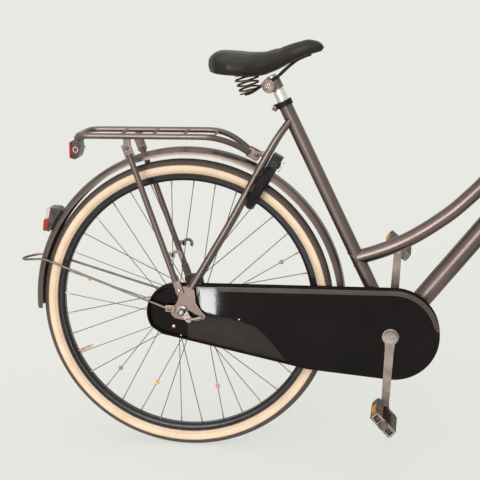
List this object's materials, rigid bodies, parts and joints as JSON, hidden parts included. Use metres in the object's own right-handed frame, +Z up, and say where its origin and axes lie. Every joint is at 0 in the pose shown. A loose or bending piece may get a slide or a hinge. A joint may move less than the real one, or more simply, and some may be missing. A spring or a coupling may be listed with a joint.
{
  "type": "step-through city bicycle",
  "caption": "Step-through city bicycle with full chain case, rear carrier, mudguards, ring lock, sprung saddle, swept-back bars and a fold-down kickstand.",
  "frame": {"origin": "on the ground, where the rear tyre stands, straight under the rear axle", "axes": "+X forward, +Y to the bicycle's left, +Z up; the drive side is -Y"},
  "size_m": [1.8674, 0.633, 1.0994],
  "materials": {
    "frame_paint": "satin metallic taupe paint",
    "black_paint": "black paint",
    "case_black": "gloss black",
    "case_band": "satin brown-grey",
    "steel": "plated, slightly worn",
    "aluminium": "satin",
    "rust_black": "black paint worn to brown",
    "rim_black": "black anodised",
    "tyre_cream": "cream rubber sidewall",
    "saddle_black": "soft black cover",
    "grip_black": "matt",
    "lamp_grey": "satin dark grey",
    "lens_red": "clear red",
    "lens_clear": "clear",
    "pedal_grey": "worn grey rubber",
    "stay_brown": "satin brown-beige wire"
  },
  "bodies": {
    "frame": {"frame": "frame_paint", "bottom_bracket": "steel", "headset_lower": "steel", "headset_upper": "steel", "seat_clamp": "black_paint", "rear_mudguard": "frame_paint", "rear_mudguard_stay": "stay_brown", "carrier_deck": "frame_paint", "carrier_leg_right": "frame_paint", "carrier_leg_left": "frame_paint", "rear_axle_nut_right": "steel", "rear_axle_nut_left": "steel", "chain_tensioner_right": "steel", "chain_tensioner_left": "steel", "carrier_lamp_housing": "lamp_grey", "carrier_lamp_lens": "lens_red", "mudguard_lamp_housing": "lamp_grey", "mudguard_lamp_lens": "lens_red", "ring_lock_body": "black_paint", "chain_case_back": "case_black", "chain_case_cover": "case_black", "chain_case_band": "case_band", "chain_case_rear_cap": "case_black", "chain": "steel", "rear_axle": "steel", "coaster_brake_arm": "steel"},
    "saddle": {"seat_post": "aluminium", "saddle_clamp": "rust_black", "saddle_rails": "rust_black", "saddle_cover": "saddle_black", "saddle_spring_right": "rust_black", "saddle_spring_left": "rust_black"},
    "rear_wheel": {"rear_tyre": "tyre_cream", "rear_rim": "rim_black", "rear_hub": "steel"},
    "sprocket": {"rear_sprocket": "steel"},
    "cranks": {"crank_spindle": "steel", "chainring": "steel", "crank_arm_right": "aluminium", "crank_arm_left": "aluminium", "pedal_spindle_right": "steel", "pedal_spindle_left": "steel"},
    "pedal_right": {"pedal_right": "pedal_grey"},
    "pedal_left": {"pedal_left": "pedal_grey"},
    "lock_shackle": {"ring_lock_shackle": "steel"},
    "lock_key": {"ring_lock_key": "steel"},
    "stand": {"kickstand": "black_paint"},
    "steering": {"fork": "frame_paint", "stem": "aluminium", "handlebar": "aluminium", "grip_right": "grip_black", "grip_left": "grip_black", "headlamp_housing": "black_paint", "headlamp_lens": "lens_clear", "front_mudguard": "frame_paint", "front_mudguard_stay": "stay_brown", "front_axle": "steel"},
    "front_wheel": {"front_tyre": "tyre_cream", "front_rim": "rim_black", "front_hub": "steel"}
  },
  "joints": [
    {"name": "seat_height", "type": "slide", "parent": "frame", "child": "saddle", "axis": [-0.4384, 0, 0.8988], "range_m": [-0.02, 0.1]},
    {"name": "rear_wheel_spin", "type": "hinge", "parent": "frame", "child": "rear_wheel", "pos_m": [0, 0, 0.351], "axis": [0, 1, 0], "continuous": true},
    {"name": "rear_sprocket_spin", "type": "hinge", "parent": "frame", "child": "sprocket", "pos_m": [0, 0, 0.351], "axis": [0, 1, 0], "continuous": true},
    {"name": "crank_spin", "type": "hinge", "parent": "frame", "child": "cranks", "pos_m": [0.4877, 0, 0.3075], "axis": [0, 1, 0], "continuous": true},
    {"name": "pedal_right_spin", "type": "hinge", "parent": "cranks", "child": "pedal_right", "pos_m": [0.47851, -0.1465, 0.13775], "axis": [0, 1, 0], "continuous": true},
    {"name": "pedal_left_spin", "type": "hinge", "parent": "cranks", "child": "pedal_left", "pos_m": [0.49689, 0.1465, 0.47725], "axis": [0, 1, 0], "continuous": true},
    {"name": "lock_shackle_turn", "type": "hinge", "parent": "frame", "child": "lock_shackle", "pos_m": [0.17669, 0, 0.64031], "axis": [-0.8704, 0, 0.4924], "range_deg": [0, 75]},
    {"name": "lock_key_turn", "type": "hinge", "parent": "frame", "child": "lock_key", "pos_m": [0.20919, -0.015, 0.69776], "axis": [-0.8704, 0, 0.4924], "range_deg": [0, 90]},
    {"name": "kickstand_fold", "type": "hinge", "parent": "frame", "child": "stand", "pos_m": [0.42, 0, 0.283], "axis": [0, -1, 0], "range_deg": [0, 92]},
    {"name": "steering_turn", "type": "hinge", "parent": "frame", "child": "steering", "pos_m": [0.88469, 0, 0.71544], "axis": [-0.3907, 0, 0.9205], "range_deg": [-80, 80]},
    {"name": "front_wheel_spin", "type": "hinge", "parent": "steering", "child": "front_wheel", "pos_m": [1.11, 0, 0.351], "axis": [0, 1, 0], "continuous": true}
  ],
  "couplings": [
    {"joint": "rear_sprocket_spin", "follows": "crank_spin", "ratio": 2.3333}
  ]
}
